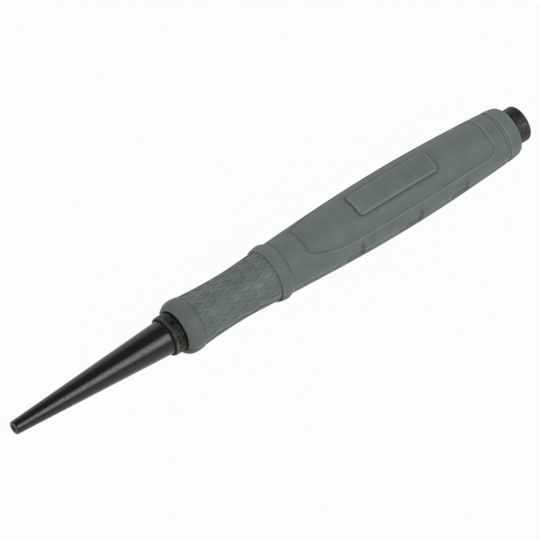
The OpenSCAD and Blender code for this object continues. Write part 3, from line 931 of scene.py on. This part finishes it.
def ring_gap(turn):
    """Gap between the neck and the ring's bore, which opens at the parting line, with crumbs of flash."""
    away = abs(math.remainder(turn, 2 * math.pi)) - math.pi / 2
    flash = max(bell(away - place, RING_FLASH_W) for place in RING_FLASH_TURNS)
    opened = smooth((math.cos(away) - RING_GAP_START) / (1 - RING_GAP_START))
    return RING_GAP_MIN + RING_GAP * opened * (1 - flash)


def panel_side(place):
    """Half width of the panels at a place, with the swept front and the rounded rear corners."""
    place = min(max(place, PANEL_PLACE), PANEL_END)
    full = barrel_r(place) * PANEL_SIDE_SHARE
    nose_end = PANEL_PLACE + PANEL_SWEEP
    if place < nose_end:
        nose = barrel_r(nose_end) * PANEL_SIDE_SHARE * PANEL_NOSE_SHARE
        full = nose + (full - nose) * (1 - ((nose_end - place) / PANEL_SWEEP) ** PANEL_SWEEP_POWER)
    for distance, corner in ((place - PANEL_PLACE, PANEL_NOSE_ROUND), (PANEL_END - place, PANEL_CORNER)):
        short = max(corner - distance, 0)
        full -= corner - math.sqrt(corner ** 2 - short ** 2)
    return full


def panel_turn(place):
    """Turn of the panels' side edge from the top or bottom of the barrel."""
    return math.asin(panel_side(place) / barrel_r(min(max(place, PANEL_PLACE), PANEL_END)))


def notch_side(place):
    """Distance from the axis at which the thumb notches cut the sides off, or none."""
    for middle in NOTCH_PLACES:
        bed = barrel_r(middle) - NOTCH_DEPTH
        front = middle - NOTCH_LEN / 2 + NOTCH_RAMP - place
        rear = place - middle - NOTCH_LEN / 2 + NOTCH_WALL
        if front < 2 * NOTCH_RAMP and rear < 2 * NOTCH_WALL:
            return bed + NOTCH_DEPTH * max(front / NOTCH_RAMP, rear / NOTCH_WALL, 0)
    return None


def notch_rear(place):
    """1 on the rear slope of a thumb notch, 0 elsewhere."""
    return max(smooth((place - middle - NOTCH_LEN / 2 + NOTCH_WALL) / NOTCH_REAR_FADE)
               * (place < middle + NOTCH_LEN) for middle in NOTCH_PLACES)


def panel_inside(place, radius, turn):
    """Distance along the surface from the nearest edge of the panels, outwards negative."""
    folded = math.acos(abs(math.cos(turn)))
    return min((panel_turn(place) - folded) * radius, place - PANEL_PLACE, PANEL_END - place)


def body_radius(place, turn):
    """Radius of the handle body's outer surface."""
    if place < BARREL_PLACE:
        radius = ring_r(place)
        return radius + seam_height(radius, turn)
    radius = barrel_r(place)
    folded = math.acos(abs(math.cos(turn)))
    radius -= PANEL_DEPTH * smooth(panel_inside(place, radius, turn) / PANEL_WALL)
    cut = notch_side(place)
    if cut and math.sin(folded) > NOTCH_SIDE_MIN:
        flat = cut / math.sin(folded)
        blend = max(NOTCH_SOFTNESS - abs(radius - flat), 0) / NOTCH_SOFTNESS
        radius = min(radius, flat) - blend * blend * NOTCH_SOFTNESS / 4
    return radius + seam_height(radius, turn)


def body_turns(place):
    """Columns round the body, which follow the panels' edges and the parting line."""
    radius = barrel_r(min(max(place, PANEL_PLACE), PANEL_END))
    edge = [panel_turn(place) + step / radius for step in EDGE_STEPS]
    seam = [math.pi / 2 + step / radius for step in SEAM_STEPS]
    top = steps(0, edge[0], PANEL_COLUMNS)[:-1]
    quadrant = top + edge + steps(edge[-1], seam[0], SIDE_COLUMNS)[1:-1] + seam
    half = quadrant + [math.pi - turn for turn in quadrant[-2::-1]]
    return half + [math.pi + turn for turn in half[1:-1]]


def body_places():
    """Rows along the body, close together at every edge."""
    front, rear = BARREL_PLACE + BARREL_END_LEN, GROOVE_PLACE - BARREL_END_LEN
    places = steps(RING_PLACE + PLATE_EDGE, front, RING_ROWS) + steps(front, rear, BARREL_ROWS)
    places += steps(rear, GROOVE_PLACE - PLATE_EDGE, BARREL_END_ROWS)
    places += [PANEL_PLACE - step for step in EDGE_STEPS] + [PANEL_END + step for step in EDGE_STEPS]
    for turn in steps(0, math.pi / 2, ROUND_STEPS):
        places.append(PANEL_PLACE + PANEL_NOSE_ROUND * (1 - math.cos(turn)))
        places.append(PANEL_END - PANEL_CORNER * (1 - math.cos(turn)))
    for middle in NOTCH_PLACES:
        start = middle - NOTCH_LEN / 2
        end = middle + NOTCH_LEN / 2
        places += steps(start - NOTCH_RAMP / 2, start + NOTCH_RAMP * 1.5, NOTCH_RAMP_ROWS)
        places += steps(end - NOTCH_WALL * 1.5, end + NOTCH_WALL / 2, NOTCH_WALL_ROWS)
    kept = []
    for place in sorted(places):
        if not kept or place - kept[-1] > ROW_SPACING_MIN:
            kept.append(place)
    return kept


def body_painted_light(place, radius, turn):
    """Painted highlights and painted shade on the handle body's ring, panels, notches and groove."""
    if radius < BARREL_REAR_R - GROOVE_DEPTH - FIT:
        return 0
    if place > GROOVE_PLACE - FIT / 10 and radius < BARREL_REAR_R - PLATE_EDGE * 2:
        return GROOVE_FLOOR_HIGHLIGHT + worn_line(GROOVE_SHADE, place - GROOVE_PLACE)
    folded = math.acos(abs(math.cos(turn)))
    upper = smooth((RING_REAR_TURN - folded) / RING_REAR_FADE)
    value = worn_line(RING_EDGE_HIGHLIGHT, place - RING_PLACE) + upper * worn_line(RING_REAR_SHADE, place - BARREL_PLACE)
    front = smooth((PANEL_NOSE_END - place) / PANEL_NOSE_FADE)
    inside = panel_inside(place, radius, turn)
    value += (1 - front) * worn_line(PANEL_EDGE_HIGHLIGHT, inside)
    value += worn_line(PANEL_CORNER_SHADE, inside) + front * worn_line(PANEL_NOSE_SHADE, inside)
    rear = notch_rear(place)
    cut = notch_side(place)
    if cut and math.sin(folded) > NOTCH_SIDE_MIN:
        below = barrel_r(place) - cut / math.sin(folded)
        value += (1 - rear) * worn_line(NOTCH_EDGE_HIGHLIGHT, below)
        value -= (NOTCH_SHADE + NOTCH_REAR_SHADE * rear) * smooth(below / NOTCH_DEPTH * 2)
    return value


def make_body(material):
    """Handle body: ring, barrel with panels and notches, groove, and the bore inside."""
    places = body_places()
    front = body_turns(RING_PLACE)
    rear = body_turns(GROOVE_PLACE)
    rings = [[spot(RING_PLACE, body_radius(RING_PLACE, turn) - PLATE_EDGE, turn) for turn in front]]
    for place in places:
        rings.append([spot(place, body_radius(place, turn), turn) for turn in body_turns(place)])
    floor_r = BARREL_REAR_R - GROOVE_DEPTH
    tail = [(GROOVE_PLACE, BARREL_REAR_R - PLATE_EDGE)]
    tail += [(place, floor_r) for place in steps(GROOVE_PLACE, BODY_END, GROOVE_ROWS)]
    for place, radius in tail:
        rings.append([spot(place, radius + seam_height(radius, turn), turn) for turn in rear])
    tuck_end = NECK_END + FIT
    bore = [(BODY_END, CORE_R + FIT), (tuck_end, CORE_R + FIT)]
    rings += turned_rings(bore, rear)
    for place in (tuck_end, RING_PLACE):
        rings.append([spot(place, NECK_REAR_R + ring_gap(turn), turn) for turn in front])
    points, faces = skin(rings, loop=True)
    piece = new_piece("handle_body", points, faces, [material])
    mark_points(piece, "wear_and_painted_light", body_painted_light)
    return piece


def plate_outline():
    """Rounded rectangle of the plate in plan."""
    along, aside = PLATE_LEN / 2 - PLATE_CORNER, PLATE_W / 2 - PLATE_CORNER
    points = []
    for index, (way_along, way_aside) in enumerate(((1, 1), (-1, 1), (-1, -1), (1, -1))):
        for turn in steps(index * math.pi / 2, (index + 1) * math.pi / 2, ROUND_STEPS):
            points.append((way_along * along + PLATE_CORNER * math.cos(turn),
                           way_aside * aside + PLATE_CORNER * math.sin(turn)))
    return points


def even_outline(outline, spacing):
    """Outline with its long sides divided, so that it can follow the barrel."""
    points = []
    for here, there in zip(outline, outline[1:] + outline[:1]):
        count = max(1, round(math.dist(here, there) / spacing))
        sides = [steps(start, end, count)[:-1] for start, end in zip(here, there)]
        points += zip(*sides)
    return points


def make_plate(material):
    """Raised plate in the upper panel: straight sides, a rounded edge and a top that follows the barrel."""
    outline = even_outline(plate_outline(), PLATE_SPACING)

    def ring(height, along_share, aside_share):
        points = []
        for along, aside in outline:
            along, aside = along * along_share, aside * aside_share
            radius = barrel_r(PLATE_MIDDLE + along) - PANEL_DEPTH + height
            points.append(spot(PLATE_MIDDLE + along, radius, math.asin(aside / radius)))
        return points

    def inset_ring(height, inset):
        return ring(height, 1 - 2 * inset / PLATE_LEN, 1 - 2 * inset / PLATE_W)

    rings = [ring(-PLATE_SEAT, share, share) for share in PLATE_UNDERSIDE]
    for turn in steps(0, math.pi / 2, PLATE_EDGE_ROWS):
        height = PLATE_PROUD - PLATE_EDGE * (1 - math.sin(turn))
        rings.append(inset_ring(height, PLATE_EDGE * (1 - math.cos(turn))))
    rings += [inset_ring(PLATE_PROUD, inset) for inset in PLATE_INSETS]
    rings += [ring(PLATE_PROUD, share, share) for share in steps(PLATE_TOP_SHARE, 0, PLATE_TOP_ROWS)]
    points, faces = skin(rings)
    piece = new_piece("name_plate", points, faces, [material])

    def wear_and_painted_light(place, radius, turn):
        # Painted highlight on the plate's edge, painted shade on its lower walls
        inset = min(PLATE_LEN / 2 - abs(place - PLATE_MIDDLE), PLATE_W / 2 - abs(radius * math.sin(turn)))
        low = barrel_r(place) - PANEL_DEPTH + PLATE_PROUD - PLATE_EDGE - radius
        return worn_line(PLATE_EDGE_HIGHLIGHT, inset) - smooth(low / PLATE_PROUD)

    mark_points(piece, "wear_and_painted_light", wear_and_painted_light)
    return piece


# Floor, world and lamps

def floor_material():
    """Pale floor that the camera and mirror rays see as white, with a faint shadow."""
    material, nodes, shader = new_material("pale floor")
    nodes.tree.nodes.remove(shader)
    output = next(node for node in nodes.tree.nodes if node.type == "OUTPUT_MATERIAL")
    matt = nodes.add("ShaderNodeBsdfDiffuse", {"Color": (*FLOOR_COLOUR, 1)})
    glow = nodes.add("ShaderNodeEmission", {"Color": (1, 1, 1, 1), "Strength": 1.0})
    path = nodes.add("ShaderNodeLightPath")
    seen = path.outputs["Is Camera Ray"]
    for other in ("Is Transmission Ray", "Is Glossy Ray"):
        seen = nodes.math("MAXIMUM", seen, path.outputs[other])
    share = nodes.math("MULTIPLY", seen, FLOOR_WHITE)
    mixed = nodes.add("ShaderNodeMixShader", {0: share, 1: matt.outputs[0], 2: glow.outputs[0]})
    nodes.link(mixed.outputs[0], output.inputs["Surface"])
    return material


def add_floor():
    """Wide floor just under the tool."""
    ways = ((-1, -1), (1, -1), (1, 1), (-1, 1))
    corners = [(x * FLOOR_REACH, y * FLOOR_REACH, -FLOOR_DROP) for x, y in ways]
    mesh = bpy.data.meshes.new("floor")
    mesh.from_pydata(corners, [], [(0, 1, 2, 3)])
    mesh.materials.append(floor_material())
    floor = add_object("floor", mesh)


def add_world():
    """Studio that is white at the horizon, dimmer overhead and on the camera's side."""
    world = bpy.data.worlds.new("studio")
    bpy.context.scene.world = world
    world.use_nodes = True
    nodes = Nodes(world.node_tree)
    world.node_tree.nodes.clear()
    way = nodes.add("ShaderNodeTexCoord").outputs["Generated"]
    way = nodes.parts(way)
    strength = nodes.spread(way["Z"], *OVERHEAD_SPAN, HORIZON_LIGHT, OVERHEAD_LIGHT)
    strength = nodes.math("MULTIPLY", strength, nodes.spread(way["Y"], *FRONT_SPAN, FRONT_SHARE, 1.0))
    light = nodes.add("ShaderNodeBackground", {"Color": (1, 1, 1, 1), "Strength": strength})
    output = nodes.add("ShaderNodeOutputWorld")
    nodes.link(light.outputs[0], output.inputs["Surface"])


def add_lamp(name, turn, lean, distance, along, across, radiance):
    """Soft strip that shines on the tool's middle, by its turn and its lean towards the head."""
    way = Vector((math.sin(lean), -math.sin(turn) * math.cos(lean), math.cos(turn) * math.cos(lean)))
    side = (TOOL_AXIS - way * way.x).normalized()
    data = bpy.data.lights.new(name, "AREA")
    data.shape = "RECTANGLE"
    data.size = along
    data.size_y = across
    data.energy = radiance * math.pi * along * across
    lamp = add_object(name, data)
    turned = Matrix((side, way.cross(side), way)).transposed().to_4x4()
    lamp.matrix_world = Matrix.Translation(TOOL_MIDDLE + way * distance) @ turned


add_camera()

GRAIN = moulded_grain_group()
SEAM = parting_line_group()
OXIDE = black_oxide_group()
GRIP = moulded_material("grip rubber", GRIP_DARK, GRIP_LIGHT, **GRIP_FINISH)
BODY = moulded_material("grip rubber with painted plate shadow", GRIP_DARK, GRIP_LIGHT, **GRIP_FINISH,
                        seat=plate_shadow_group())
CORE = moulded_material("core plastic", CORE_DARK, CORE_LIGHT, **PLASTIC_FINISH)
CAP = moulded_material("cap plastic", GRIP_DARK, GRIP_LIGHT, **PLASTIC_FINISH)
GROUND = steel_material("ground black steel", (0.0012, 0.0013, 0.0014), (0.003, 0.0033, 0.0035),
                        roughness=0.19, specular=0.5, blotch_scale=1500.0, scratch=0.1, bump=0.1)
FORGED = steel_material("rough black steel", (0.001, 0.001, 0.0008), (0.046, 0.043, 0.034),
                        roughness=0.42, specular=0.16, blotch_scale=1700.0, scratch=0.2, bump=0.4)
STRUCK = steel_material("struck black steel", (0.002, 0.002, 0.002), (0.022, 0.022, 0.021),
                        roughness=0.40, specular=0.32, blotch_scale=1200.0, scratch=0.2, bump=0.35)

hand_over(make_punch(GROUND, FORGED, STRUCK), "punch")
hand_over(make_core(CORE), "grip_core")
hand_over(make_neck(GRIP), "neck_grip")
hand_over(make_body(BODY), "handle_body")
hand_over(make_cap(CAP), "end_cap")
hand_over(make_plate(GRIP), "name_plate")

add_floor()
add_world()
for across in KEY_WIDTHS:
    distance = KEY_DISTANCE + across * KEY_STEP
    add_lamp("key", FACING_TURN + KEY_TURN, KEY_LEAN, distance, KEY_LEN, across, KEY_RADIANCE)
add_lamp("fill", FACING_TURN + FILL_TURN, FILL_LEAN, FILL_DISTANCE, FILL_SIZE, FILL_SIZE, FILL_RADIANCE)
